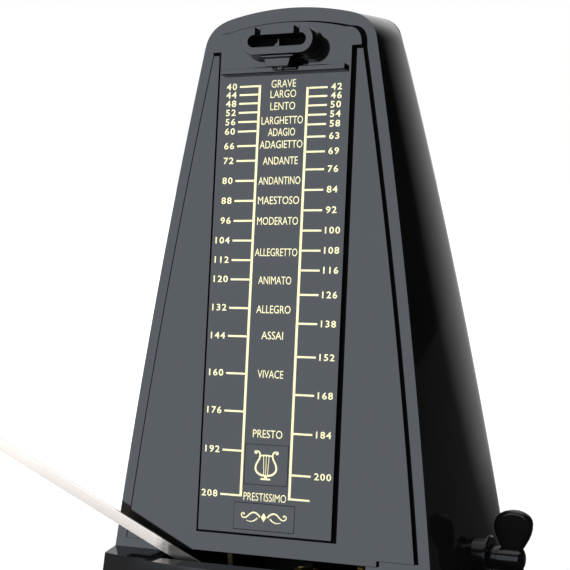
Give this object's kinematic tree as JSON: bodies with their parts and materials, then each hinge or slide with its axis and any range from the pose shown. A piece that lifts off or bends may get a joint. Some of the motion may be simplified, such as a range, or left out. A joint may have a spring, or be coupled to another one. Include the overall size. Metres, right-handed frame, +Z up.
{
  "type": "mechanical metronome",
  "caption": "Mechanical pyramid metronome with its front cover off: tapering glossy case, raised scale plate, leaning pendulum rod with sliding weight, winding key and clockwork.",
  "frame": {"origin": "middle of the flat pad on the bottom cover's underside, below the middle of the case; the rubber feet reach 2.5 mm below it", "axes": "+X towards the winding key, +Y to the back of the case, +Z up; the scale faces -Y"},
  "size_m": [0.2137, 0.1121, 0.22],
  "materials": {
    "case_gloss": "high gloss black",
    "panel_gloss": "high gloss black",
    "plate_gloss": "high gloss black with gold print",
    "catch_gloss": "high gloss black",
    "key_gloss": "gloss black",
    "cover_plastic": "satin black",
    "foot_rubber": "dull black",
    "rod_steel": "bright strip",
    "weight_steel": "polished",
    "arbor_steel": "turned",
    "screw_steel": "turned",
    "ratchet_steel": "hardened",
    "base_steel": "zinc plated",
    "spring_steel": "blued",
    "bob_iron": "as cast",
    "plate_brass": "satin",
    "wheel_brass": "cut and polished"
  },
  "bodies": {
    "case": {"housing": "case_gloss", "front_panel": "panel_gloss", "scale_plate": "plate_gloss", "rod_catch": "catch_gloss", "catch_screw": "screw_steel", "bottom_cover": "cover_plastic", "foot_front_left": "foot_rubber", "foot_front_right": "foot_rubber", "foot_rear_left": "foot_rubber", "foot_rear_right": "foot_rubber", "cover_screw_front_left": "screw_steel", "cover_screw_front_right": "screw_steel", "cover_screw_rear_left": "screw_steel", "cover_screw_rear_right": "screw_steel", "movement_plate_left": "plate_brass", "movement_plate_right": "plate_brass", "pillar_front_low": "arbor_steel", "pillar_rear_low": "arbor_steel", "pillar_front_high": "arbor_steel", "pillar_rear_high": "arbor_steel", "movement_base": "base_steel", "movement_screw_front_left": "screw_steel", "movement_screw_front_right": "screw_steel", "movement_screw_rear_left": "screw_steel", "movement_screw_rear_right": "screw_steel", "potence": "plate_brass", "click_stud": "screw_steel", "click_spring_post": "screw_steel", "click_spring": "spring_steel", "key_bush": "cover_plastic", "front_cock": "cover_plastic", "rear_cock": "cover_plastic"},
    "winding": {"winding_key": "key_gloss", "winding_arbor": "arbor_steel", "ratchet_wheel": "ratchet_steel"},
    "great": {"great_wheel": "wheel_brass", "mainspring": "spring_steel"},
    "centre": {"centre_arbor": "arbor_steel", "centre_wheel": "wheel_brass"},
    "escape": {"escape_arbor": "arbor_steel", "escape_wheel": "wheel_brass"},
    "pendulum": {"pendulum_rod": "rod_steel", "pendulum_arbor": "arbor_steel", "counterweight": "bob_iron", "pallet_front": "ratchet_steel", "pallet_rear": "ratchet_steel"},
    "weight": {"sliding_weight": "weight_steel", "weight_spring": "spring_steel"},
    "click": {"click": "ratchet_steel"}
  },
  "joints": [
    {"name": "pendulum_swing", "type": "hinge", "parent": "case", "child": "pendulum", "pos_m": [0, -0.0393, 0.0488], "axis": [0, 0.9976, -0.0698], "range_deg": [0, 130.59]},
    {"name": "weight_slide", "type": "slide", "parent": "pendulum", "child": "weight", "axis": [-0.9085, 0.0292, 0.4169], "range_m": [-0.0866, 0]},
    {"name": "winding_turn", "type": "hinge", "parent": "case", "child": "winding", "pos_m": [0, 0, 0.057], "axis": [1, 0, 0], "continuous": true},
    {"name": "great_turn", "type": "hinge", "parent": "case", "child": "great", "pos_m": [0, 0, 0.057], "axis": [1, 0, 0], "continuous": true},
    {"name": "centre_turn", "type": "hinge", "parent": "case", "child": "centre", "pos_m": [0, -0.01, 0.0384], "axis": [1, 0, 0], "continuous": true},
    {"name": "escape_turn", "type": "hinge", "parent": "case", "child": "escape", "pos_m": [0, -0.022, 0.04759], "axis": [1, 0, 0], "continuous": true},
    {"name": "click_lift", "type": "hinge", "parent": "case", "child": "click", "pos_m": [0.0366, 0.0096, 0.0634], "axis": [1, 0, 0], "range_deg": [-10, 0], "stiffness_Nm_per_rad": 0.002, "springref_deg": 8.59}
  ],
  "couplings": [
    {"joint": "centre_turn", "follows": "great_turn", "ratio": -6},
    {"joint": "escape_turn", "follows": "great_turn", "ratio": 24}
  ]
}
